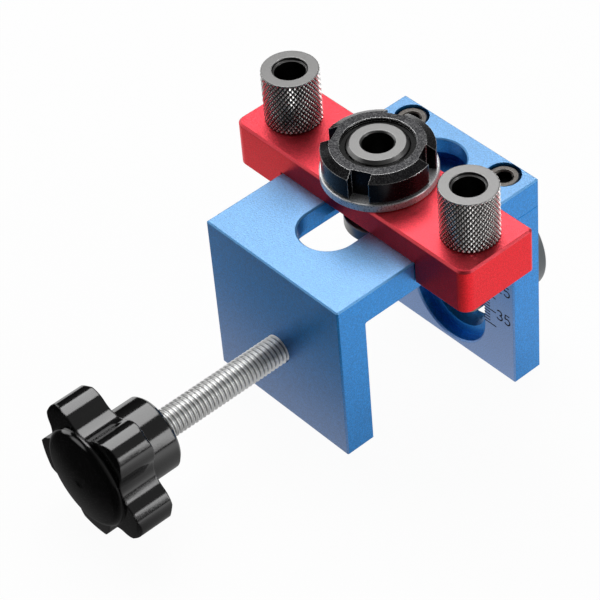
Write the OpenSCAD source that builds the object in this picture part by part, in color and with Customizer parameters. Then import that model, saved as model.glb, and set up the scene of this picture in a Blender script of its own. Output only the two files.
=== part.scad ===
// Cam and dowel drilling jig: a bracket that grips the end of a board, a saddle bar
// with three dowel guides, and a cam guide in the rear plate.
// Millimetres. x = 0 is the middle of the jig, y = 0 is the fence face that the board
// lies against, z = 0 is the underside that the board's end stops on. +z is up and
// +y points away from the knob.

/* [Bracket] */
// Width of the bracket and of the rear plate
body_w = 48.5; // [44:0.5:60]
// Thickness of the top plate
top_t = 8.7; // [8.2:0.1:12]
// Opening between the clamp leg and the fence
jaw_gap = 50.2; // [46:0.2:70]
// Thickness of the clamp leg
leg_t = 8.6; // [7:0.1:12]
// Depth of the clamp leg below the underside
leg_drop = 40.3; // [36:0.1:55]
// Break on the long edges of the bracket and the rear plate
edge_break = 0.4; // [0.1:0.1:0.8]
// Inside corner radius between the clamp leg and the underside
corner_r = 0.6; // [0.2:0.1:1]

/* [Top slot] */
// Width of the slot that the centre guide slides in
slot_w = 16; // [14.5:0.1:18]
// Land between the clamp leg and the flange recess
slot_front_land = 0.7; // [0.2:0.1:4]
// Wall behind the flange recess, over the rear plate
slot_rear_wall = 2.4; // [1.5:0.1:6]
// Depth of the flange recess in the underside
recess_d = 4.1; // [3:0.1:5]

/* [Rear plate] */
// Thickness of the rear plate
rear_t = 9.6; // [9.6:0.1:14]
// Depth of the milled seat in the underside that squares the rear plate
rear_seat = 0.2; // [0.1:0.05:0.3]
// Depth of the rear plate below the underside
rear_h = 56.9; // [56.5:0.1:75]
// Depth of the cam flange recess in the fence face
cam_recess_d = 3.4; // [2.6:0.1:4.5]
// Land of the fence face above the cam recess
cam_top_land = 4.9; // [3:0.1:9]
// Land of the fence face below the cam recess
cam_low_land = 1.7; // [1.2:0.1:6]

/* [Cap screws] */
// Shank diameter of the two cap screws
cap_d = 5; // [4:0.5:5]
// Head diameter of the cap screws
cap_head_d = 8.5; // [8:0.1:8.6]
// Head height of the cap screws
cap_head_h = 5; // [4:0.1:5.2]
// Distance across the flats of the hexagon socket
cap_hex = 4; // [3:0.5:4.5]
// Depth of the hexagon socket
cap_hex_d = 2.6; // [2:0.1:3]
// Depth of the cap screws in the rear plate
cap_in = 14; // [10:1:20]
// Distance of each cap screw's axis from the side of the bracket
cap_side = 7.55; // [7:0.05:7.8]
// Cap screw axis behind the fence face
cap_back = 4.7; // [4.7:0.05:4.8]
// How far the cap screw heads are sunk
cap_sunk = 0.5; // [0.1:0.1:0.6]

/* [Guide bar] */
// Wall at each end of the guide bar, beyond the sleeve's hole
bar_end = 4; // [3:0.1:10]
// Wall between a lip's inner face and the sleeve's hole
lip_wall = 1.4; // [1:0.1:6]
// Width of the guide bar along the slot
bar_w = 23.4; // [20:0.1:26]
// Thickness of the guide bar over the top plate
bar_t = 7; // [5:0.1:10]
// Depth of the lips beside the top plate
lip_drop = 6.3; // [4:0.1:7.5]
// Radius of the guide bar's upright corners on the knob's side
bar_r = 3; // [1.5:0.1:5]
// Radius of the guide bar's upright corners on the fence's side
bar_rear_r = 1.3; // [1.1:0.1:5]
// Chamfer on the guide bar's edges
bar_ch = 0.6; // [0.2:0.1:1]
// Distance of the guide row from the fence, as set
guide_set = 21.8; // [17:0.1:27]

/* [Dowel guides] */
// Bore of the three dowel guides
dowel_bore = 8.1; // [6:0.1:9]
// Chamfer at the mouth of each guide bore
mouth_ch = 0.45; // [0.2:0.05:0.6]
// Diameter of the knurled sleeves
sleeve_d = 15.2; // [14.5:0.1:18]
// Height of the knurled sleeves over the bar
sleeve_h = 15.4; // [12:0.1:22]
// Chamfer on the knurled sleeves
sleeve_ch = 0.45; // [0.2:0.05:0.8]
// Thread diameter of the sleeves in the bar
sleeve_thread_d = 12; // [11.5:0.5:14]
// Thread diameter of the centre guide
guide_d = 15.8; // [13:0.1:17]
// Flange diameter of the centre guide
flange_d = 19.6; // [19:0.1:22]
// Flange thickness of the centre guide
flange_t = 3.6; // [2.5:0.1:3.8]
// How far the centre guide stands out of its nut
guide_proud = 0.2; // [0:0.1:2]

/* [Lock nuts] */
// Diameter of the centre washer
washer_d = 30; // [27:0.5:34]
// Thickness of both washers
washer_t = 2.3; // [1.5:0.1:3]
// Diameter of the centre lock nut
nut_d = 28.8; // [27:0.1:32]
// Diameter of the centre lock nut's flat top
nut_face_d = 24.2; // [23:0.1:26]
// Height of the centre lock nut
nut_h = 7.5; // [6:0.1:10]
// Width of the four spanner slots
nut_slot_w = 5.4; // [4:0.1:6]
// Depth of the four spanner slots
nut_slot_d = 2.9; // [2:0.1:3.2]
// Angle at which the centre lock nut was tightened
nut_turn = 26.5; // [0:0.5:90]

/* [Cam guide] */
// Wall between the cam guide's bore and the top of its thread
cam_wall = 2.45; // [1.8:0.05:4]
// Thread diameter of the cam guide
cam_d = 20; // [18.5:0.1:21]
// Flange diameter of the cam guide
cam_flange_d = 25.6; // [24.5:0.1:26]
// Flange thickness of the cam guide
cam_flange_t = 3.1; // [2:0.1:3.2]
// Distance of the cam guide below the underside, as set
cam_set = 32; // [24:0.1:36]
// Diameter of the cam washer
cam_washer_d = 34; // [32:0.5:38]
// Diameter of the cam lock nut
cam_nut_d = 32; // [30:0.5:36]
// Diameter of the cam lock nut's flat face
cam_nut_face_d = 29.4; // [26:0.1:29.4]
// Height of the cam lock nut
cam_nut_h = 9; // [6:0.1:10]
// Angle at which the cam lock nut was tightened
cam_nut_turn = 45; // [0:0.5:90]

/* [Clamp screw] */
// Thread diameter of the clamp screw
screw_d = 8; // [6:0.5:8]
// Clamp screw axis below the underside
screw_drop = 19.2; // [17:0.1:24]
// Length of screw between the clamp leg and the knob, as set
screw_out = 39.9; // [36:0.1:44]
// Diameter of the turned tip in the pressure pad
tip_d = 5; // [4:0.1:5.5]
// Diameter of the pressure pad
pad_d = 16; // [13:0.5:20]
// Thickness of the pressure pad
pad_t = 5; // [4:0.1:8]
// Gap between the pressure pad and the clamp leg, as set
pad_back = 3.2; // [2:0.1:6]

/* [Knob] */
// Diameter of the hub on the screw's side
hub_d = 20.3; // [18:0.1:24]
// Length of the hub
hub_l = 10.9; // [8:0.1:16]
// Radius of the knob at the tips of its lobes
lobe_r = 19.7; // [18.5:0.1:22]
// Radius of the knob in its valleys
valley_r = 14; // [12.5:0.1:15]
// Rounding radius of each lobe
lobe_round = 6; // [5:0.1:6.4]
// Number of lobes
lobes = 5; // [4:1:5]
// Thickness of the lobed head
head_t = 10.4; // [8:0.1:14]
// Rounding radius of the dome's shoulder on the head
dome_round = 2; // [1:0.1:6]
// Height of the dome's crown over its shoulder
dome_h = 1; // [0.2:0.1:4]
// Angle at which the knob stands
knob_turn = 52; // [0:1:72]

/* [Clearances] */
// Running clearance round a thread or a shaft, on the radius
run = 0.05; // [0.02:0.01:0.08]
// Clearance round what slides in a slot, on each side
slide_c = 0.1; // [0.05:0.05:0.2]
// Clearance of a clearance hole, on the radius
hole_c = 0.25; // [0.15:0.05:0.4]
// Clearance between each lip and the side of the top plate
lip_c = 0.35; // [0.2:0.05:0.6]
// Clearance round a flange in its recess, on the radius
flange_c = 0.3; // [0.2:0.05:0.5]
// Gap between flat faces that slide on each other
seat = 0.05; // [0.02:0.01:0.1]
// Clearance round a cap screw head, on the radius
head_c = 0.35; // [0.2:0.05:0.4]

/* [Hidden] */
$fn = 96;
eps = 0.5;                                  // how far cutters reach past a face

leg_in_y = -jaw_gap;                        // inner face of the clamp leg
leg_out_y = leg_in_y - leg_t;               // outer face of the clamp leg
recess_w = flange_d + 2 * flange_c;         // width of the underside recess
// arc centres at the front and the rear of the top slot
front_y = leg_in_y + max(slot_front_land, corner_r + seat) + recess_w / 2;
rear_y = rear_t - slot_rear_wall - recess_w / 2;
slot_used_w = max(slot_w, guide_d + 2 * slide_c);
cam_bore = cam_d - 2 * cam_wall;            // bore of the cam guide: 15.1 as set
cam_slot_w = cam_d + 4 * slide_c;           // width of the through slot in the rear plate
cam_recess_w = cam_flange_d + 2 * flange_c;
cam_high = cam_top_land + cam_recess_w / 2; // arc centres of the cam slot, below z = 0
cam_low = rear_h - cam_low_land - cam_recess_w / 2;
cap_x = body_w / 2 - cap_side;
bore_d = cap_head_d + 2 * head_c;           // counterbore of the cap screws
bore_depth = cap_head_h + cap_sunk;

cap_ch = 0.5;                               // chamfer on a cap screw's head
cap_mouth = 0.35;                           // countersink round the hexagon socket's corners

bar_z = top_t + seat;                       // underside of the guide bar
bar_top = bar_z + bar_t;
lip_z = bar_z - lip_drop;                   // lowest face of the lips
lip_in = body_w / 2 + lip_c;                // inner face of the lips
row_y = -guide_set;
// distance between the centre guide and each side guide: 32 as set
pitch = lip_in + lip_wall + sleeve_thread_d / 2;
bar_l = 2 * (pitch + sleeve_thread_d / 2 + bar_end);
washer_z = bar_top + seat;
nut_z = washer_z + washer_t + seat;
nut_top = nut_z + nut_h;
flange_top = top_t - (top_t - recess_d) - seat;
thread_ch = 0.8;                            // chamfer at the end of a guide's thread
nut_mouth = 1.5;                            // width of the counterbore at a lock nut's mouth
nut_sink = 0.9;                             // depth of that counterbore
nut_rim = 0.2;                              // break on the counterbore's edges
nut_slope = 0.58;                           // rise of a lock nut's chamfer over its width

cam_z = -cam_set;
cam_flange_y = cam_recess_d - seat;         // the cam flange's bearing face
cam_washer_y = rear_t + seat;
cam_nut_y = cam_washer_y + washer_t + seat;
cam_end_y = cam_nut_y + cam_nut_h + guide_proud;

pad_y0 = leg_in_y + pad_back;               // back of the pressure pad
pad_face_y = pad_y0 + pad_t;
tip_in = pad_t * 0.6;                       // depth of the screw's tip in the pad
hub_y = leg_out_y - screw_out;              // hub face of the knob
screw_in = hub_l + head_t * 0.4;            // depth of the screw in the knob
tip_l = tip_in + pad_back * 0.5;            // length of the turned tip
screw_ch = 0.6;
hub_ch = 0.8;
head_round = 1.2;                           // rounding at the tips of the lobes
dome_gap = 0.3;                             // flat left between the dome and the valleys
valley_step = 180 / lobes;

// Revolved solid from half-profile points, its axis along z
module turned(points) {
    rotate_extrude() polygon(points);
}

// Slot outline between two arc centres on the second axis
module slot_2d(a, b, w) {
    translate([0, a]) circle(d = w);
    translate([0, b]) circle(d = w);
    translate([-w / 2, min(a, b)]) square([w, abs(b - a)]);
}

// Cross-section of a block with chamfered top and bottom edges
module edge_2d(half, h, ct, cb) {
    polygon([[-half + cb, 0], [half - cb, 0], [half, cb], [half, h - ct], [half - ct, h],
        [-half + ct, h], [-half, h - ct], [-half, cb]]);
}

// Block with rounded upright corners and chamfered edges, standing on z = 0:
// corner radius rf on its -y side and rb on its +y side
module rounded_block(lx, ly, h, rf, rb, ct, cb) {
    translate([0, ly / 2 - rb, 0]) rotate([90, 0, 0])
        linear_extrude(ly - rf - rb) edge_2d(lx / 2, h, ct, cb);
    for (side = [[-1, rf], [1, rb]]) {
        r = side[1];
        intersection() {
            translate([r - lx / 2, 0, 0]) rotate([90, 0, 90])
                linear_extrude(lx - 2 * r) edge_2d(ly / 2, h, ct, cb);
            translate([-lx / 2, side[0] * ly / 2 - ly / 2, -eps]) cube([lx, ly, h + 2 * eps]);
        }
        for (sx = [-1, 1])
            translate([sx * (lx / 2 - r), side[0] * (ly / 2 - r), 0])
                turned([[0, 0], [r - cb, 0], [r, cb], [r, h - ct], [r - ct, h], [0, h]]);
    }
}

// Side outline of the bracket in the y-z plane: top plate with the clamp leg
module bracket_2d() {
    c = edge_break;
    r = corner_r;
    difference() {
        polygon([[leg_out_y + c, top_t], [rear_t - c, top_t], [rear_t, top_t - c],
            [rear_t, rear_seat], [rear_seat, rear_seat], [0, 0], [leg_in_y + r, 0],
            [leg_in_y + r, -r], [leg_in_y, -r], [leg_in_y, -leg_drop + c],
            [leg_in_y - c, -leg_drop],
            [leg_out_y + c, -leg_drop], [leg_out_y, -leg_drop + c],
            [leg_out_y, top_t - c]]);
        translate([leg_in_y + r, -r]) circle(r = r);
    }
}

// Everything inside a box's outline seen along y and along z, with broken corners
module broken_corners(y0, y1, z0, z1) {
    c = edge_break;
    w = body_w / 2;
    intersection() {
        translate([0, y1 + eps, 0]) rotate([90, 0, 0]) linear_extrude(y1 - y0 + 2 * eps)
            polygon([[-w + c, z0], [w - c, z0], [w, z0 + c], [w, z1 - c], [w - c, z1],
                [-w + c, z1], [-w, z1 - c], [-w, z0 + c]]);
        translate([0, 0, z0 - eps]) linear_extrude(z1 - z0 + 2 * eps)
            polygon([[-w + c, y0], [w - c, y0], [w, y0 + c], [w, y1 - c], [w - c, y1],
                [-w + c, y1], [-w, y1 - c], [-w, y0 + c]]);
    }
}

// Chamfer cutter for the mouth of a slot in the plane z = 0, widening upwards
module slot_mouth(a, b, w, c) {
    for (y = [a, b]) translate([0, y, -c])
        cylinder(r1 = w / 2, r2 = w / 2 + 2 * c, h = 2 * c);
    translate([0, max(a, b), 0]) rotate([90, 0, 0]) linear_extrude(abs(b - a))
        polygon([[-w / 2, -c], [w / 2, -c], [w / 2 + 2 * c, c], [-w / 2 - 2 * c, c]]);
}

module bracket() {
    color("royalblue") difference() {
        intersection() {
            translate([-body_w / 2, 0, 0]) rotate([90, 0, 90])
                linear_extrude(body_w) bracket_2d();
            broken_corners(leg_out_y, rear_t, -leg_drop, top_t);
        }
        translate([0, 0, top_t]) slot_mouth(front_y, rear_y, slot_used_w, edge_break);
        // slot for the centre guide and the flange recess under it
        translate([0, 0, -eps]) linear_extrude(top_t + 2 * eps)
            slot_2d(front_y, rear_y, slot_used_w);
        translate([0, 0, -eps]) linear_extrude(recess_d + eps)
            slot_2d(front_y, rear_y, recess_w);
        // counterbored holes for the cap screws
        for (s = [-1, 1]) translate([s * cap_x, cap_back, 0]) {
            translate([0, 0, -eps]) cylinder(d = cap_d + 2 * hole_c, h = top_t + 2 * eps);
            translate([0, 0, top_t - bore_depth]) cylinder(d = bore_d, h = bore_depth + eps);
        }
        // tapped hole for the clamp screw
        translate([0, leg_out_y - eps, -screw_drop]) rotate([-90, 0, 0])
            cylinder(d = screw_d + 2 * run, h = leg_t + 2 * eps);
    }
}

module rear_plate() {
    c = edge_break;
    color("royalblue") difference() {
        intersection() {
            translate([-body_w / 2, 0, 0]) rotate([90, 0, 90]) linear_extrude(body_w)
                polygon([[0, 0], [0, -rear_h + c], [c, -rear_h], [rear_t - c, -rear_h],
                    [rear_t, -rear_h + c], [rear_t, rear_seat], [rear_seat, rear_seat]]);
            broken_corners(0, rear_t, -rear_h, rear_seat);
        }
        rotate([90, 0, 0]) slot_mouth(-cam_low, -cam_high, cam_recess_w, c);
        // stepped slot: wide on the fence face, narrow behind it
        translate([0, rear_t + eps, 0]) rotate([90, 0, 0]) linear_extrude(rear_t + 2 * eps)
            slot_2d(-cam_low, -cam_high, cam_slot_w);
        translate([0, cam_recess_d, 0]) rotate([90, 0, 0]) linear_extrude(cam_recess_d + eps)
            slot_2d(-cam_low, -cam_high, cam_recess_w);
        // tapped holes for the cap screws
        for (s = [-1, 1]) translate([s * cap_x, cap_back, -cap_in - 2])
            cylinder(d = cap_d + 2 * run, h = cap_in + 2 + eps);
    }
}

// Socket head cap screw, its head's top at z = 0
module cap_screw() {
    c = cap_ch;
    m = cap_hex / 2 * (1 / cos(30) - 1) + cap_mouth;
    color("dimgray") difference() {
        turned([[0, 0], [cap_head_d / 2 - c, 0], [cap_head_d / 2, -c],
            [cap_head_d / 2, -cap_head_h], [cap_d / 2, -cap_head_h],
            [cap_d / 2, -cap_len + c], [cap_d / 2 - c, -cap_len], [0, -cap_len]]);
        translate([0, 0, -cap_hex_d]) rotate(30)
            cylinder(d = cap_hex / cos(30), h = cap_hex_d + eps, $fn = 6);
        translate([0, 0, -m - cap_mouth])
            cylinder(r1 = cap_hex / 2 - cap_mouth, r2 = cap_hex / 2 + m + eps,
                h = m + cap_mouth + eps);
    }
}
cap_len = top_t - cap_sunk + cap_in;

module cap_screw_left() {
    translate([-cap_x, cap_back, top_t - cap_sunk]) cap_screw();
}

module cap_screw_right() {
    translate([cap_x, cap_back, top_t - cap_sunk]) cap_screw();
}

module guide_bar() {
    color("firebrick") translate([0, row_y, 0]) difference() {
        translate([0, 0, lip_z])
            rounded_block(bar_l, bar_w, bar_t + lip_drop, bar_r, bar_rear_r, bar_ch, bar_ch / 2);
        // channel that straddles the top plate
        translate([-lip_in, -bar_w / 2 - eps, lip_z - eps])
            cube([2 * lip_in, bar_w + 2 * eps, lip_drop + eps]);
        translate([0, 0, lip_z]) cylinder(d = guide_d + 2 * slide_c, h = 2 * bar_t + lip_drop);
        for (s = [-1, 1]) translate([s * pitch, 0, lip_z - eps])
            cylinder(d = sleeve_thread_d + 2 * run, h = bar_t + lip_drop + 2 * eps);
    }
}

// Sleeve with a knurled head that stands on the bar and a threaded shank in the bar
module side_guide() {
    r = sleeve_d / 2;
    c = sleeve_ch;
    b = dowel_bore / 2;
    m = mouth_ch;
    low = lip_z + 2 * run;
    z0 = bar_top + seat;
    z1 = z0 + sleeve_h;
    t = sleeve_thread_d / 2;
    color("silver") turned([[b, low + m], [b + m, low], [t - m, low], [t, low + m], [t, z0],
        [r - c, z0], [r, z0 + c], [r, z1 - c], [r - c, z1], [b + 2 * m, z1], [b, z1 - 2 * m]]);
}

module left_guide() {
    translate([-pitch, row_y, 0]) side_guide();
}

module right_guide() {
    translate([pitch, row_y, 0]) side_guide();
}

// Flanged guide bush: flange from z = 0 up to ft, thread up to the end at top
module flanged_bush(fd, ft, td, bd, top) {
    m = mouth_ch;
    c = edge_break / 2;
    turned([[bd / 2 + m, 0], [fd / 2 - c, 0], [fd / 2, c], [fd / 2, ft - c],
        [fd / 2 - c, ft], [td / 2, ft], [td / 2, top - thread_ch],
        [td / 2 - thread_ch, top], [bd / 2 + m, top], [bd / 2, top - m], [bd / 2, m]]);
}

// Round lock nut with four spanner slots, standing on z = 0, chamfered at its top
module lock_nut(od, face, h, td, turn) {
    c = (od - face) / 2;
    f = edge_break;
    g = nut_rim;
    t = td / 2 + run;
    m = t + nut_mouth;
    difference() {
        turned([[t + f, 0], [od / 2 - f, 0], [od / 2, f],
            [od / 2, h - c * nut_slope], [face / 2, h],
            [m + g, h], [m, h - g], [m, h - nut_sink], [t + g, h - nut_sink],
            [t, h - nut_sink - g], [t, f]]);
        for (k = [0:3]) rotate(turn + 90 * k)
            translate([od / 2 - nut_slot_d, -nut_slot_w / 2, -eps])
                cube([od, nut_slot_w, h + 2 * eps]);
    }
}

// Plain washer standing on z = 0
module washer(od, td) {
    f = edge_break / 2;
    r = td / 2 + hole_c;
    turned([[r, 0], [od / 2 - f, 0], [od / 2, f], [od / 2, washer_t - f],
        [od / 2 - f, washer_t], [r, washer_t]]);
}

module centre_guide() {
    z0 = flange_top - flange_t;
    color("lightgray") translate([0, row_y, z0])
        flanged_bush(flange_d, flange_t, guide_d, dowel_bore, nut_top + guide_proud - z0);
}

module centre_washer() {
    color("gainsboro") translate([0, row_y, washer_z]) washer(washer_d, guide_d);
}

module centre_lock_nut() {
    color("dimgray") translate([0, row_y, nut_z])
        lock_nut(nut_d, nut_face_d, nut_h, guide_d, nut_turn);
}

module cam_guide() {
    y0 = cam_flange_y - cam_flange_t;
    color("lightgray") translate([0, y0, cam_z]) rotate([-90, 0, 0])
        flanged_bush(cam_flange_d, cam_flange_t, cam_d, cam_bore, cam_end_y - y0);
}

module cam_washer() {
    color("gainsboro") translate([0, cam_washer_y, cam_z]) rotate([-90, 0, 0])
        washer(cam_washer_d, cam_d);
}

module cam_lock_nut() {
    color("dimgray") translate([0, cam_nut_y, cam_z]) rotate([-90, 0, 0])
        lock_nut(cam_nut_d, cam_nut_face_d, cam_nut_h, cam_d, cam_nut_turn);
}

// Threaded rod from the knob through the clamp leg, with a turned tip in the pad
module clamp_screw() {
    y0 = hub_y - screw_in;
    y_tip = pad_y0 + tip_in;
    l = y_tip - y0;
    c = screw_ch;
    color("silver") translate([0, y0, -screw_drop]) rotate([-90, 0, 0])
        turned([[0, 0], [screw_d / 2 - c, 0], [screw_d / 2, c], [screw_d / 2, l - tip_l - c],
            [screw_d / 2 - c, l - tip_l], [tip_d / 2, l - tip_l], [tip_d / 2, l - c],
            [tip_d / 2 - c, l], [0, l]]);
}

module pressure_pad() {
    c = edge_break;
    r = pad_d / 2;
    t = tip_d / 2 + run;
    d = tip_in + seat;
    color("silver") translate([0, pad_y0, -screw_drop]) rotate([-90, 0, 0])
        turned([[t, 0], [r - 2 * c, 0], [r, 2 * c], [r, pad_t - c], [r - c, pad_t],
            [0, pad_t], [0, d], [t, d]]);
}

// Centre distance of the lobe arcs, and radius of the valley arcs that run into them
lobe_c = lobe_r - lobe_round;
valley_arc = (lobe_c * lobe_c + valley_r * valley_r - 2 * lobe_c * valley_r * cos(valley_step)
    - lobe_round * lobe_round)
    / (2 * lobe_round - 2 * valley_r + 2 * lobe_c * cos(valley_step));
valley_c = valley_r + valley_arc;

// Star outline of the knob: round lobes that run into round valleys
module star_2d() {
    difference() {
        polygon([for (k = [0:2 * lobes - 1])
            let (a = k * valley_step, r = k % 2 == 0 ? lobe_c : valley_c)
            [r * cos(a), r * sin(a)]]);
        for (k = [0:lobes - 1]) rotate((2 * k + 1) * valley_step)
            translate([valley_c, 0]) circle(r = valley_arc);
    }
    for (k = [0:lobes - 1]) rotate(2 * k * valley_step)
        translate([lobe_c, 0]) circle(r = lobe_round);
}

// Dome on z = 0: a round shoulder that runs tangent into a flatter crown
module dome() {
    r = valley_r - dome_gap;
    s = dome_round;
    h = s + dome_h;
    w = r - s;
    crown = (w * w + h * h - s * s) / (2 * dome_h);
    // direction from the crown's centre through the shoulder's centre
    ux = w / (crown - s);
    uz = (crown - h) / (crown - s);
    rotate_extrude() union() {
        translate([0, -eps]) square([r, eps]);
        intersection() {
            translate([w, 0]) circle(r = s);
            translate([w, 0]) square([s, s]);
        }
        intersection() {
            translate([0, h - crown]) circle(r = crown);
            polygon([[0, 0], [w, 0], [w + (s + h) * ux, (s + h) * uz], [0, 2 * h]]);
        }
    }
}

// Star knob standing on its hub face at z = 0, the domed front up
module star_knob() {
    r = lobe_r;
    e = head_round;
    z1 = hub_l + head_t;
    difference() {
        union() {
            turned([[0, 0], [hub_d / 2 - hub_ch, 0], [hub_d / 2, hub_ch],
                [hub_d / 2, hub_l + e], [0, hub_l + e]]);
            intersection() {
                translate([0, 0, hub_l]) rotate(knob_turn) linear_extrude(head_t) star_2d();
                // envelope that bevels the tips of the lobes
                turned([[0, hub_l], [r - e / 2, hub_l], [r + eps, hub_l + e],
                    [r + eps, z1 - e], [r - e, z1], [0, z1]]);
            }
            translate([0, 0, z1]) dome();
        }
        translate([0, 0, -eps]) cylinder(d = screw_d + 2 * run, h = screw_in + seat + eps);
    }
}

module knob() {
    color("black") translate([0, hub_y, -screw_drop]) rotate([90, 0, 0]) star_knob();
}

bracket();
rear_plate();
cap_screw_left();
cap_screw_right();
guide_bar();
left_guide();
right_guide();
centre_guide();
centre_washer();
centre_lock_nut();
cam_guide();
cam_washer();
cam_lock_nut();
clamp_screw();
knob();
pressure_pad();
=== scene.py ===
import bpy
import math
from mathutils import Matrix, Vector


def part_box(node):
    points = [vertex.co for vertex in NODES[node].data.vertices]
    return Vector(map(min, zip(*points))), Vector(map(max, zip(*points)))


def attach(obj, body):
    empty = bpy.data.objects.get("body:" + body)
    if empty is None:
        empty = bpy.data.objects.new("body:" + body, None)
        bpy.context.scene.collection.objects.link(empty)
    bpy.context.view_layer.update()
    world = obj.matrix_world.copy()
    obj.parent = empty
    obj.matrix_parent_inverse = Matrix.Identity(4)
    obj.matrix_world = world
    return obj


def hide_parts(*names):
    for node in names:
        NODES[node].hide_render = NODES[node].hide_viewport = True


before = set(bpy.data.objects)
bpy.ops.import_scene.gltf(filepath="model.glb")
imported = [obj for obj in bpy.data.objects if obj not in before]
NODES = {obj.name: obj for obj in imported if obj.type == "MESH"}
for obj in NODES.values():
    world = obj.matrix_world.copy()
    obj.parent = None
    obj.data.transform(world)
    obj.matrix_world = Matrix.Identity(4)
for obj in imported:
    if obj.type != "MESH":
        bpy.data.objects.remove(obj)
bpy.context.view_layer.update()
scene = bpy.context.scene

MM = 0.001
# axes of the round pieces, in mm
GUIDE_Y = -21.8          # the three dowel guides stand upright in this row
PITCH = 32.0             # from the centre guide to each sleeve
CAM_Z = -32.0            # the cam guide and its nut lie along y
SCREW_Z = -19.2          # the clamp screw lies along y
CAP_X, CAP_Y = 16.7, 4.7
# bores of the guides, in mm
DOWEL_R, CAM_R = 4.05, 7.55

# camera: solved from the plates' corners in the photograph
PHOTO_SIDE = 600
FOCAL_PIXELS = 2667.9
SENSOR = 36.0
RIGHT = Vector((0.6649836533, 0.7437686014, -0.0678602116))
UP = Vector((-0.4788356556, 0.4943091421, 0.7255169791))
BACK = Vector((0.5731606719, -0.4499630424, 0.6848504250))
EYE = Vector((0.3810252, -0.3496340, 0.4471722))
cam_data = bpy.data.cameras.new("camera")
cam = bpy.data.objects.new("camera", cam_data)
scene.collection.objects.link(cam)
scene.camera = cam
cam.matrix_world = Matrix((
    (RIGHT.x, UP.x, BACK.x, EYE.x), (RIGHT.y, UP.y, BACK.y, EYE.y),
    (RIGHT.z, UP.z, BACK.z, EYE.z), (0, 0, 0, 1)))
cam_data.sensor_width = SENSOR
cam_data.lens = FOCAL_PIXELS * SENSOR / PHOTO_SIDE
cam_data.clip_start = 0.01
cam_data.clip_end = 20


# materials
def grey(value):
    return (value, value, value)


class Nodes:
    """Small helper that adds shader nodes and links to one material or world."""

    def __init__(self, tree):
        self.tree = tree
        tree.nodes.clear()

    def put(self, node, key, value):
        """Links a socket to an input, or sets the input to a plain value."""
        if isinstance(value, bpy.types.NodeSocket):
            self.tree.links.new(value, node.inputs[key])
        else:
            node.inputs[key].default_value = value

    def add(self, kind, sockets=None, **attrs):
        node = self.tree.nodes.new(kind)
        for key, value in attrs.items():
            setattr(node, key, value)
        for key, value in (sockets or {}).items():
            self.put(node, key, value)
        return node

    def math(self, op, a, b=0.0, clamp=False):
        node = self.add("ShaderNodeMath", {0: a, 1: b}, operation=op, use_clamp=clamp)
        return node.outputs[0]

    def vector(self, op, a, b):
        """Number that two vectors give, such as DOT_PRODUCT or DISTANCE."""
        return self.add("ShaderNodeVectorMath", {0: a, 1: b}, operation=op).outputs["Value"]

    def span(self, value, low, high, at_low=0.0, at_high=1.0, kind="LINEAR"):
        """Maps a value between low and high to at_low and at_high, and no further."""
        node = self.add("ShaderNodeMapRange", {0: value, 1: low, 2: high, 3: at_low, 4: at_high},
                        interpolation_type=kind)
        return node.outputs[0]

    def ramp(self, fac, stops):
        node = self.add("ShaderNodeValToRGB", {0: fac})
        elements = node.color_ramp.elements
        for i, (pos, value) in enumerate(stops):
            if i > 1:
                elements.new(pos)
            elements[i].position = pos
            elements[i].color = (value if isinstance(value, tuple) else grey(value)) + (1.0,)
        return node.outputs[0]

    def mix(self, fac, a, b, blend="MIX"):
        node = self.add("ShaderNodeMix", data_type="RGBA", blend_type=blend)
        self.put(node, 0, fac)
        for key, colour in ((6, a), (7, b)):
            self.put(node, key, colour + (1.0,) if isinstance(colour, tuple) else colour)
        return node.outputs[2]

    def place(self):
        return self.add("ShaderNodeTexCoord").outputs["Object"]

    def normal(self):
        return self.add("ShaderNodeNewGeometry").outputs["Normal"]

    def split(self, vector):
        return self.add("ShaderNodeSeparateXYZ", {0: vector}).outputs

    def radius(self, ring, axis):
        """Distance from an axis along Z or Y through ring, which is x and y or x and z."""
        place = self.split(self.place())
        u = self.math("SUBTRACT", place[0], ring[0])
        v = self.math("SUBTRACT", place[1 if axis == "Z" else 2], ring[1])
        squares = self.math("ADD", self.math("MULTIPLY", u, u), self.math("MULTIPLY", v, v))
        return self.math("SQRT", squares)

    def noise(self, scale, detail, rough, vec=None):
        return self.add("ShaderNodeTexNoise", {
            "Vector": vec if vec is not None else self.place(),
            "Scale": scale, "Detail": detail, "Roughness": rough}).outputs["Fac"]

    def edges(self, radius, sharp=0.06):
        """Mask that is 1 on edges and 0 on flats, and the normal rounded over them."""
        bevel = self.add("ShaderNodeBevel", {"Radius": radius})
        bevel.samples = 6
        off = self.math("SUBTRACT", 1.0,
                        self.vector("DOT_PRODUCT", bevel.outputs[0], self.normal()))
        return self.math("DIVIDE", off, sharp, clamp=True), bevel.outputs[0]

    def bump(self, strength, distance, height, normal=None):
        sockets = {"Strength": strength, "Distance": distance, "Height": height}
        if normal is not None:
            sockets["Normal"] = normal
        return self.add("ShaderNodeBump", sockets).outputs[0]

    def finish(self, sockets):
        out = self.add("ShaderNodeOutputMaterial")
        surface = self.add("ShaderNodeBsdfPrincipled", sockets)
        self.tree.links.new(surface.outputs[0], out.inputs[0])


def material(name):
    m = bpy.data.materials.new(name)
    m.use_nodes = True
    return m, Nodes(m.node_tree)


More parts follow.
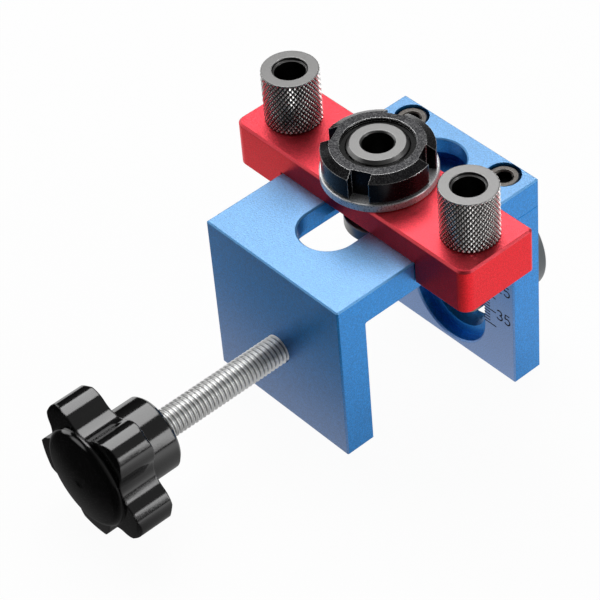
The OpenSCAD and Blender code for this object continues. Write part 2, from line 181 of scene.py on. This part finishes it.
def blasted(name, base, deep, rim, rough, metallic, coat, painted_sheen_front, painted_sheen_top, front=0.0,
            top=0.0, slant_highlight_amount=0.9, speckle=0.3, grazing=(1.0, 1.0, 1.0)):
    """Bead-blasted anodised aluminium: satin metal with a fine pebble grain. The upper faces
    can carry a painted sheen that makes them paler, and so can the faces towards the knob,
    the more so the lower they go, as a painted reflection of the pale floor."""
    m, n = material(name)
    grain = n.noise(2900, 2.0, 0.65)
    cloud = n.noise(160, 3.0, 0.6)
    edge, rounded = n.edges(0.0002)
    col = n.mix(n.ramp(grain, [(0.34, 0.0), (0.66, 1.0)]), deep, base)
    col = n.mix(n.math("MULTIPLY", n.ramp(cloud, [(0.35, 0.0), (0.7, 1.0)]), 0.12), col, deep)
    way = n.split(n.normal())
    place = n.split(n.place())
    upper = n.span(place[2], 0.0, 0.001)
    # the painted sheen leaves out the rear plate's recess and the inside of its slot
    outer = n.span(place[1], 0.0003, 0.001, 1.0, 0.0)
    # painted sheen on the faces towards the knob, stronger lower down: a painted reflection of the
    # floor
    fall = n.span(place[2], 0.0, -0.045, 0.0, -front, "SMOOTHSTEP")
    front_sheen_mask = n.math("MULTIPLY", way[1], fall, clamp=True)
    col = n.mix(n.math("MULTIPLY", front_sheen_mask, outer), col, painted_sheen_front)
    # painted sheen on the upward faces, standing in for the key light's reflection
    top_sheen_mask = n.math("MULTIPLY", way[2], top, clamp=True)
    col = n.mix(n.math("MULTIPLY", top_sheen_mask, upper), col, painted_sheen_top)
    # the upper broken edges slant: 4 z (1 - z) of the normal is 1 halfway and 0 on flats; these
    # upward slants get the rim colour as a painted highlight
    slant_highlight = n.math("MULTIPLY", n.math("MULTIPLY", way[2], 4.0),
                   n.math("SUBTRACT", 1.0, way[2]), clamp=True)
    slant_highlight = n.math("MULTIPLY", n.math("MULTIPLY", slant_highlight, upper), slant_highlight_amount)
    col = n.mix(speckle, col, n.ramp(grain, [(0.38, 0.4), (0.62, 1.0)]), "MULTIPLY")
    col = n.mix(n.math("MULTIPLY", edge, 0.5), col, deep)
    # painted highlight: the rim colour on the upper slanted faces
    col = n.mix(slant_highlight, col, rim)
    n.finish({"Base Color": col,
              # the slanted edges scatter more than they mirror
              "Metallic": n.math("SUBTRACT", metallic, n.math("MULTIPLY", slant_highlight, 0.5)),
              "Roughness": n.span(grain, 0.3, 0.7, rough - 0.05, rough + 0.05),
              "Normal": n.bump(0.65, 0.0001, grain, rounded),
              "Specular Tint": grazing + (1.0,),
              "Coat Weight": coat, "Coat Roughness": 0.25, "Coat IOR": 1.5})
    return m


def turned_steel(name, base, deep, rim, rough, ring=None, ring_scale=9000.0, metallic=1.0,
                 blotch=0.0, axis="Z", edge_wear_and_highlight=0.6, recess=None):
    """Turned or ground metal: fine circular tool marks round an axis, and bright edges that are
    partly wear and partly painted highlight.
    A recess is a radius and a height: what lies inside the one and below the other is painted
    black as painted shade."""
    m, n = material(name)
    edge, rounded = n.edges(0.00025, 0.08)
    fine = n.noise(2600, 3.0, 0.65)
    marks = fine
    recess_shade = None
    if ring is not None:
        rad = n.radius(ring, axis)
        out = n.add("ShaderNodeCombineXYZ", {0: rad, 1: 0.0, 2: 0.0}).outputs[0]
        marks = n.noise(ring_scale, 2.0, 0.6, out)
        # painted shade: the inside of the recess is painted near black
        if recess:
            inside = n.span(rad, recess[0] - 0.0001, recess[0], 1.0, 0.0)
            below = n.span(n.split(n.place())[2], recess[1] - 0.0002, recess[1], 1.0, 0.0)
            recess_shade = n.math("MULTIPLY", inside, below)
    col = n.mix(n.ramp(marks, [(0.3, 0.0), (0.7, 1.0)]), deep, base)
    if blotch:
        # the turned faces are worn more than the sides
        way = n.split(n.normal())[2 if axis == "Z" else 1]
        face = n.math("POWER", n.math("ABSOLUTE", way), 3.0)
        worn = n.ramp(n.noise(2400, 3.0, 0.7), [(0.44, 0.0), (0.72, 1.0)])
        col = n.mix(n.math("MULTIPLY", n.math("MULTIPLY", worn, face), blotch), col, rim)
    # bright edges: partly wear, partly painted highlight
    col = n.mix(n.math("MULTIPLY", edge, edge_wear_and_highlight), col, rim)
    if recess_shade is not None:
        col = n.mix(recess_shade, col, grey(0.004))
    height = n.math("ADD", n.math("MULTIPLY", marks, 0.7), n.math("MULTIPLY", fine, 0.3))
    n.finish({"Base Color": col, "Metallic": metallic,
              "Roughness": n.span(fine, 0.3, 0.7, rough - 0.06, rough + 0.06),
              "Normal": n.bump(0.25, 0.00002, height, rounded)})
    return m


def ridged(name, ring, axis, r_low, r_high, groove_shade, middle, bright, rough, metallic):
    """Knurled or threaded steel, coloured by the radius: dark grooves that are painted shade, and
    bright crests.
    """
    m, n = material(name)
    up = n.span(n.radius(ring, axis), r_low, r_high)
    fine = n.noise(2600, 3.0, 0.65)
    tip = n.math("MULTIPLY", up, n.ramp(fine, [(0.3, 0.96), (0.7, 1.0)]))
    n.finish({"Base Color": n.ramp(tip, [(0.0, groove_shade), (0.35, middle), (0.85, bright)]),
              "Metallic": metallic, "Roughness": rough, "Normal": n.bump(0.08, 0.00002, fine)})
    return m


def gloss_plastic(name):
    """Black moulded plastic, glossy, with a faint ripple and a roughness that varies."""
    m, n = material(name)
    ripple = n.noise(70, 2.0, 0.5)
    fine = n.noise(1800, 3.0, 0.7)
    rounded = n.edges(0.0006)[1]
    height = n.math("ADD", n.math("MULTIPLY", ripple, 0.9), n.math("MULTIPLY", fine, 0.02))
    n.finish({"Base Color": n.mix(n.ramp(fine, [(0.4, 0.0), (0.75, 1.0)]), grey(0.001),
                                  (0.0035, 0.0035, 0.004)),
              "Metallic": 0.0, "Roughness": n.span(fine, 0.35, 0.75, 0.08, 0.15),
              "Normal": n.bump(0.12, 0.0004, height, rounded), "IOR": 1.75})
    return m


def ink(name, colour):
    m, n = material(name)
    fine = n.noise(3000, 2.0, 0.6)
    n.finish({"Base Color": n.mix(fine, colour, tuple(2.2 * c for c in colour)),
              "Metallic": 0.0, "Roughness": 0.6, "Specular IOR Level": 0.15})
    return m


# axes of the turned materials, in m: x and y, or x and z where they lie along y
AXIS = {"left": (-PITCH, GUIDE_Y), "centre": (0.0, GUIDE_Y), "right": (PITCH, GUIDE_Y),
        "cap_l": (-CAP_X, CAP_Y), "cap_r": (CAP_X, CAP_Y), "cam": (0.0, CAM_Z),
        "screw": (0.0, SCREW_Z)}
AXIS = {key: (u * MM, v * MM) for key, (u, v) in AXIS.items()}
# the pale front and top colours below are painted sheen, and the rim colour is a painted highlight
# on the upper slants
BLUE = blasted(
    "anodised_blue", (0.02, 0.305, 0.79), (0.006, 0.215, 0.6), (0.16, 0.52, 1.0), 0.42, 0.84, 0.3,
    painted_sheen_front=(0.6, 0.57, 0.68), painted_sheen_top=(0.68, 0.78, 0.66), front=0.4, top=0.26)
RED = blasted(
    "anodised_red", (0.88, 0.012, 0.024), (0.72, 0.005, 0.011), (0.9, 0.1, 0.13), 0.36, 0.88, 0.25,
    painted_sheen_front=(0.84, 0.012, 0.02), painted_sheen_top=(0.92, 0.42, 0.55), top=0.12, slant_highlight_amount=0.35,
    speckle=0.22, grazing=(1.0, 0.6, 0.65))
GROUND = {key: turned_steel(
    "ground_steel_" + key, (0.24, 0.237, 0.233), grey(0.16), grey(0.5), 0.36, AXIS[key],
    axis="Y" if key == "cam" else "Z") for key in ("left", "right", "centre", "cam")}
KNURL = {key: ridged(
    "knurled_steel_" + key, AXIS[key], "Z", 0.00716, 0.00752, grey(0.006), (0.56, 0.55, 0.54),
    (1.0, 0.98, 0.96), 0.22, 0.9) for key in ("left", "right")}
# the inside of the bores is painted dark as painted shade
BORE = turned_steel("bore_painted_shade", grey(0.05), grey(0.03), grey(0.1), 0.4)
BLACK = turned_steel(
    "black_oxide", (0.022, 0.022, 0.024), (0.01, 0.01, 0.012), grey(0.8), 0.28, AXIS["centre"],
    7000.0, 0.88, 0.12, edge_wear_and_highlight=0.85, recess=(0.0095, 0.0255))
BLACK_CAM = turned_steel(
    "black_oxide_cam", (0.13, 0.14, 0.145), (0.09, 0.1, 0.105), (0.35, 0.36, 0.37), 0.4,
    AXIS["cam"], 7000.0, 0.95, 0.2, "Y")
CAP = {key: turned_steel(
    "black_" + key, (0.13, 0.12, 0.11), (0.08, 0.072, 0.065), (0.4, 0.38, 0.36), 0.36, AXIS[key],
    8000.0, 0.9, 0.2, recess=(0.0048, 0.0079)) for key in ("cap_l", "cap_r")}
ZINC = turned_steel("zinc_plate", (0.82, 0.83, 0.84), (0.68, 0.69, 0.71), grey(0.95), 0.3,
                    AXIS["centre"], 5000.0, 0.6)
ZINC_ROD = ridged("zinc_rod", AXIS["screw"], "Y", 0.0033, 0.0039, grey(0.26), (0.97, 0.97, 0.96),
                  (1.0, 1.0, 0.99), 0.3, 0.75)
PLASTIC = gloss_plastic("black_plastic")
INK = ink("engraved_dark", (0.002, 0.003, 0.009))


# mesh helpers, with all sizes in mm
def make(name, verts, faces, body, mats, mat_of=None, sharp=30.0, flat=()):
    me = bpy.data.meshes.new(name)
    me.from_pydata([tuple(c * MM for c in v) for v in verts], [], faces)
    me.validate()
    for m in mats:
        me.materials.append(m)
    flat = set(flat)
    for i, p in enumerate(me.polygons):
        p.use_smooth = i not in flat
        if mat_of:
            p.material_index = mat_of[i]
    me.set_sharp_from_angle(angle=math.radians(sharp))
    o = bpy.data.objects.new(name, me)
    scene.collection.objects.link(o)
    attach(o, body)
    return o


def to_z(x0, y0):
    """Places (r, angle, s) about an upright axis through (x0, y0)."""
    return lambda r, a, s: (x0 + r * math.cos(a), y0 + r * math.sin(a), s)


def to_y(x0, z0):
    """Places (r, angle, s) about an axis along y through (x0, z0)."""
    return lambda r, a, s: (x0 + r * math.sin(a), s, z0 + r * math.cos(a))


def ring(r, s, m=0, row=None, low=None):
    """One ring of a turned piece: radius, place along the axis and material of the band that
    ends here. In a knurl row the points alternate between the radii r and low."""
    return {"r": r, "s": s, "m": m, "row": row, "low": low}


def lathe(rings, n, place, closed):
    """Surface through rings of n points. With closed the last ring joins the first, and
    otherwise both ends are closed by a cap."""
    verts, faces, mat_of, flat = [], [], [], []
    for each in rings:
        for i in range(n):
            a = 2 * math.pi * i / n
            r = each["r"]
            if callable(r):
                r = r(a, each["s"])
            elif each["row"] is not None and (i + each["row"]) % 2:
                r = each["low"]
            verts.append(place(r, a, each["s"]))
    count = len(rings)
    for ka in range(count if closed else count - 1):
        kb = (ka + 1) % count
        ra, rb = rings[ka], rings[kb]
        for i in range(n):
            j = (i + 1) % n
            q = (kb * n + i, kb * n + j, ka * n + j, ka * n + i)
            if ra["row"] is None or rb["row"] is None:
                faces.append(q)
                mat_of.append(rb["m"])
                continue
            # the groove of a knurl runs between the two low corners
            if (i + ra["row"]) % 2 == 0:
                tris = ((q[0], q[2], q[3]), (q[0], q[1], q[2]))
            else:
                tris = ((q[1], q[2], q[3]), (q[0], q[1], q[3]))
            for tri in tris:
                flat.append(len(faces))
                faces.append(tri)
                mat_of.append(rb["m"])
    if not closed:
        faces.append(tuple(range(n)))
        mat_of.append(rings[0]["m"])
        faces.append(tuple((count - 1) * n + i for i in range(n))[::-1])
        mat_of.append(rings[-1]["m"])
    return verts, faces, mat_of, flat


def thread(r, pitch, depth, s0, s1, step=10):
    """Rings of a thread of outer radius r from s0 to s1, running out at both ends."""
    def radius(a, s):
        f = (s / pitch - a / (2 * math.pi)) % 1.0
        d = min(f, 1 - f) * 2
        cut = min(1.0, max(0.0, (d - 0.16) / 0.6))
        run = min(1.0, (s - s0) / (0.5 * pitch), (s1 - s) / (0.5 * pitch))
        return r - depth * cut * max(0.0, run)
    k = max(2, int(round((s1 - s0) / pitch * step)))
    return [ring(radius, s0 + (s1 - s0) * i / k) for i in range(k + 1)]


MOUTH = 0.45             # chamfer at the bores' ends


# knurled sleeves
HEAD = 15.4              # height of the knurled head
SHANK_R = 6.0            # threaded shank under it
TEETH = 38
KNURL_DEPTH = 0.45


def sleeve(name, node, x, side):
    lo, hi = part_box(node)
    z_low, z_top = lo.z / MM, hi.z / MM
    r_out = (hi.x - lo.x) / 2 / MM
    z_seat = z_top - HEAD
    b = DOWEL_R
    k0, k1 = z_seat + 0.3, z_top - 0.25
    rise = math.pi * r_out / TEETH * 1.3       # half of a diamond along the axis
    rows = int(round((k1 - k0) / rise))
    rings = [ring(b, z_low + MOUTH, 1), ring(b + MOUTH, z_low), ring(SHANK_R - MOUTH, z_low)]
    rings += thread(SHANK_R, 1.0, 0.5, z_low + MOUTH, z_seat - 0.2, 8)
    rings += [ring(5.4, z_seat), ring(r_out - 0.75, z_seat), ring(r_out - 0.5, z_seat + 0.2)]
    rings += [ring(r_out, k0 + (k1 - k0) * j / rows, 2, j, r_out - KNURL_DEPTH)
              for j in range(rows + 1)]
    rings += [ring(r_out - 0.2, z_top - 0.12, 2), ring(r_out - 0.32, z_top),
              ring(b + 0.62, z_top), ring(b + 0.5, z_top - 0.12),
              ring(b + 0.38, z_top - 0.75), ring(b, z_top - 1.0),
              ring(b, z_top - 1.6, 1), ring(b, z_low + 3, 1)]
    v, f, mat_of, flat = lathe(rings, 2 * TEETH, to_z(x, GUIDE_Y), True)
    o = make(name, v, f, side + "_sleeve", [GROUND[side], BORE, KNURL[side]], mat_of,
             30, flat)
    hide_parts(node)


sleeve("left_sleeve_knurled", "left_guide", -PITCH, "left")
sleeve("right_sleeve_knurled", "right_guide", PITCH, "right")

# clamp screw with its thread, and a plain tip that turns in the pad
ROD_R, ROD_PITCH, ROD_DEPTH = 4.0, 1.25, 0.72
TIP_R, TIP = 2.5, 4.6
lo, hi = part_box("clamp_screw")
y0, y1 = lo.y / MM, hi.y / MM
axis_z = (lo.z + hi.z) / 2 / MM
rings = [ring(3.2, y0), ring(ROD_R - 0.1, y0 + 0.6)]
rings += thread(ROD_R, ROD_PITCH, ROD_DEPTH, y0 + 0.7, y1 - TIP - 0.7)
rings += [ring(ROD_R - 0.1, y1 - TIP - 0.6), ring(3.3, y1 - TIP),
          ring(TIP_R, y1 - TIP), ring(TIP_R, y1 - 0.6), ring(TIP_R - 0.6, y1)]
v, f, mat_of, flat = lathe(rings, 64, to_y(0.0, axis_z), False)
rod = make("clamp_rod_threaded", v, f, "clamp_spindle", [ZINC_ROD], mat_of, 85)
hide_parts("clamp_screw")


# threaded guides
GUIDE_PITCH = 1.5
GUIDE_DEPTH = 0.8


def bush(name, node, place, s0, s1, flange_r, flange_t, r, b, body, mats):
    c = 0.2                                    # chamfer of the flange
    seat = s0 + flange_t
    rings = [ring(b, s0 + MOUTH, 1), ring(b + MOUTH, s0), ring(flange_r - c, s0),
             ring(flange_r, s0 + c), ring(flange_r, seat - c),
             ring(flange_r - c, seat), ring(r - 0.75, seat)]
    rings += thread(r, GUIDE_PITCH, GUIDE_DEPTH, seat + 0.1, s1 - 0.85)
    rings += [ring(r - 0.8, s1 - 0.05), ring(r - 0.85, s1), ring(b + MOUTH, s1),
              ring(b, s1 - MOUTH), ring(b, s1 - 1.4, 1), ring(b, s0 + 2, 1)]
    v, f, mat_of, flat = lathe(rings, 96, place, True)
    o = make(name, v, f, body, mats, mat_of, 35)
    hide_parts(node)


lo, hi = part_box("centre_guide")
bush("centre_guide_threaded", "centre_guide", to_z(0, GUIDE_Y), lo.z / MM, hi.z / MM, 9.8, 3.6,
     7.9, DOWEL_R, "guide_slide", [GROUND["centre"], BORE])
lo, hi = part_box("cam_guide")
bush("cam_guide_threaded", "cam_guide", to_y(0, CAM_Z), lo.y / MM, hi.y / MM, 12.8, 3.1,
     10.0, CAM_R, "cam_carriage", [GROUND["cam"], BORE])


# scale on the fence face
def strokes(name, lines, width, body, mat):
    """Flat inlaid strokes on the fence face from polylines of (x, z) points."""
    verts, faces = [], []
    for pts in lines:
        k = len(pts)
        first = len(verts)
        for i, (x, z) in enumerate(pts):
            a = pts[max(0, i - 1)]
            c = pts[min(k - 1, i + 1)]
            dx, dz = c[0] - a[0], c[1] - a[1]
            length = math.hypot(dx, dz)
            nx, nz = -dz / length * width / 2, dx / length * width / 2
            for y in (-0.012, 0.05):           # proud of the face, and sunk in it
                verts.append((x + nx, y, z + nz))
                verts.append((x - nx, y, z - nz))
        for i in range(k - 1):
            p, q = first + 4 * i, first + 4 * (i + 1)
            faces += [(p, q, q + 1, p + 1), (p + 2, p + 3, q + 3, q + 2),
                      (p, p + 2, q + 2, q), (p + 1, q + 1, q + 3, p + 3)]
        p, q = first, first + 4 * (k - 1)
        faces += [(p, p + 1, p + 3, p + 2), (q, q + 2, q + 3, q + 1)]
    make(name, verts, faces, body, [mat], None, 20)


def arc(cx, cz, rx, rz, a0, a1, k=14):
    return [(cx + rx * math.cos(math.radians(a0 + (a1 - a0) * i / k)),
             cz + rz * math.sin(math.radians(a0 + (a1 - a0) * i / k))) for i in range(k + 1)]


H, W = 3.2, 1.9                               # height and width of a numeral
DIGITS = {
    "1": [[(0.35, H * 0.78), (W * 0.6, H), (W * 0.6, 0)]],
    "2": [arc(W / 2, H * 0.72, W / 2, H * 0.28, 165, -30, 14)
          + [(W * 0.1, 0.0), (W, 0.0)]],
    "3": [arc(W * 0.46, H * 0.75, W * 0.44, H * 0.25, 150, -90, 14)
          + arc(W * 0.46, H * 0.26, W * 0.54, H * 0.26, 80, -155, 16)],
    "5": [[(W * 0.92, H), (W * 0.15, H), (W * 0.06, H * 0.55)]
          + arc(W * 0.46, H * 0.31, W * 0.54, H * 0.31, 125, -150, 18)],
}
TICK_X, TICK, FIFTH_TICK = 13.3, 2.1, 4.3     # where the ticks start, and their lengths
DIGIT_X, DIGIT_STEP = 18.0, 2.8
SCALE_SHIFT = 0.6                             # a tick lies this far below its value


def scale_z(value):
    return -(value + SCALE_SHIFT)


ticks = [[(TICK_X, scale_z(value)),
          (TICK_X + (TICK if value % 5 else FIFTH_TICK), scale_z(value))]
         for value in range(10, 41)]
strokes("scale_ticks", ticks, 0.38, "frame", INK)
numerals = [[(DIGIT_X + k * DIGIT_STEP + px, scale_z(value) - H / 2 + pz) for px, pz in line]
            for value in (15, 25, 35)
            for k, digit in enumerate(str(value))
            for line in DIGITS[digit]]
strokes("scale_numerals", numerals, 0.45, "frame", INK)

# finishes of the CAD nodes
FINISH = {
    "bracket": BLUE, "rear_plate": BLUE, "cap_screw_left": CAP["cap_l"],
    "cap_screw_right": CAP["cap_r"], "guide_bar": RED, "left_guide": GROUND["left"],
    "right_guide": GROUND["right"], "centre_guide": GROUND["centre"], "centre_washer": ZINC,
    "centre_lock_nut": BLACK, "cam_guide": GROUND["cam"], "cam_washer": ZINC,
    "cam_lock_nut": BLACK_CAM, "clamp_screw": ZINC_ROD, "knob": PLASTIC,
    "pressure_pad": ZINC}
for node, mat in FINISH.items():
    me = NODES[node].data
    me.materials.clear()
    me.materials.append(mat)

# floor: it slants down to the rear, so that it carries both the knob and the rear plate
FLOOR_HALF = 3.0
slope = Vector((0.0, 1.0, -0.1495)).normalized()
across = Vector((1.0, 0.0, 0.0))
centre = Vector((0.0, 0.0004, -0.05692)) + slope * -0.05
me = bpy.data.meshes.new("floor")
me.from_pydata([tuple(centre + across * (sx * FLOOR_HALF) + slope * (sy * FLOOR_HALF))
                for sx, sy in ((-1, -1), (1, -1), (1, 1), (-1, 1))], [], [(0, 1, 2, 3)])
floor = bpy.data.objects.new("floor", me)
scene.collection.objects.link(floor)
m, n = material("floor")
path = n.add("ShaderNodeLightPath")
diffuse = n.add("ShaderNodeBsdfDiffuse", {"Color": grey(0.9) + (1,)})
white = n.add("ShaderNodeEmission", {"Color": grey(1) + (1,), "Strength": 1.0})
plain = n.add("ShaderNodeMixShader", {
    0: n.math("MULTIPLY", path.outputs["Is Camera Ray"], 0.96),
    1: diffuse.outputs[0], 2: white.outputs[0]})
# what polished metal sees of the floor is a painted glow: white beside and behind, falling
# off in front of the object, with a painted shadow of the object in the middle
pos = n.split(n.place())
spot = n.add("ShaderNodeCombineXYZ", {0: pos[0], 1: pos[1], 2: 0.0}).outputs[0]
near = n.vector("DISTANCE", spot, (-0.005, -0.045, 0.0))
painted_floor_shadow = n.span(near, 0.03, 0.09, 0.58, 1.0, "SMOOTHSTEP")
sheet = n.span(pos[1], -0.14, -0.04, 0.015, 1.12, "SMOOTHSTEP")
painted_floor_glow = n.add("ShaderNodeEmission", {"Color": grey(1) + (1,),
                                    "Strength": n.math("MULTIPLY", sheet, painted_floor_shadow)})
whole = n.add("ShaderNodeMixShader", {0: path.outputs["Is Glossy Ray"], 1: plain.outputs[0],
                                      2: painted_floor_glow.outputs[0]})
n.add("ShaderNodeOutputMaterial", {0: whole.outputs[0]})
me.materials.append(m)

# studio walls: pale behind and to the right, dark behind the photographer
world = bpy.data.worlds.new("world")
scene.world = world
world.use_nodes = True
n = Nodes(world.node_tree)
path = n.add("ShaderNodeLightPath")
way = n.add("ShaderNodeTexCoord").outputs["Generated"]
wall = n.span(n.vector("DOT_PRODUCT", way, (0.5, 0.8, 0.33)), -0.3, 0.9, 0.015, 0.22,
              "SMOOTHSTEP")
# a small panel in front on the left, seen by metal only, brightens the slanted edges
panel = n.span(n.vector("DOT_PRODUCT", way, (-0.573, -0.685, 0.45)), 0.93, 0.98, 0.0, 1.1,
               "SMOOTHSTEP")
glint = n.math("MULTIPLY", panel, path.outputs["Is Glossy Ray"])
studio = n.add("ShaderNodeBackground", {"Color": grey(1) + (1,),
                                        "Strength": n.math("ADD", wall, glint)})
white = n.add("ShaderNodeBackground", {"Color": grey(1) + (1,), "Strength": 1.0})
whole = n.add("ShaderNodeMixShader", {0: path.outputs["Is Camera Ray"], 1: studio.outputs[0],
                                      2: white.outputs[0]})
n.add("ShaderNodeOutputWorld", {0: whole.outputs[0]})

# lamps
AIM = Vector((0.0, -0.03, -0.01))


def softbox(name, direction, dist, size, power):
    d = Vector(direction).normalized()
    light = bpy.data.lights.new(name, "AREA")
    light.shape = "RECTANGLE"
    light.size, light.size_y = size
    light.energy = power
    o = bpy.data.objects.new(name, light)
    scene.collection.objects.link(o)
    o.location = AIM + d * dist
    o.rotation_mode = "QUATERNION"
    o.rotation_quaternion = d.to_track_quat("Z", "Y")
    o.visible_camera = False


softbox("key", (-0.38, 0.22, 0.9), 0.9, (0.66, 0.74), 6.0)
softbox("fill_right", (0.84, 0.45, 0.3), 1.0, (0.35, 0.58), 2.2)
softbox("reflector_left", (-0.95, -0.22, 0.22), 1.0, (0.5, 0.5), 1.2)

scene.view_settings.view_transform = "Standard"
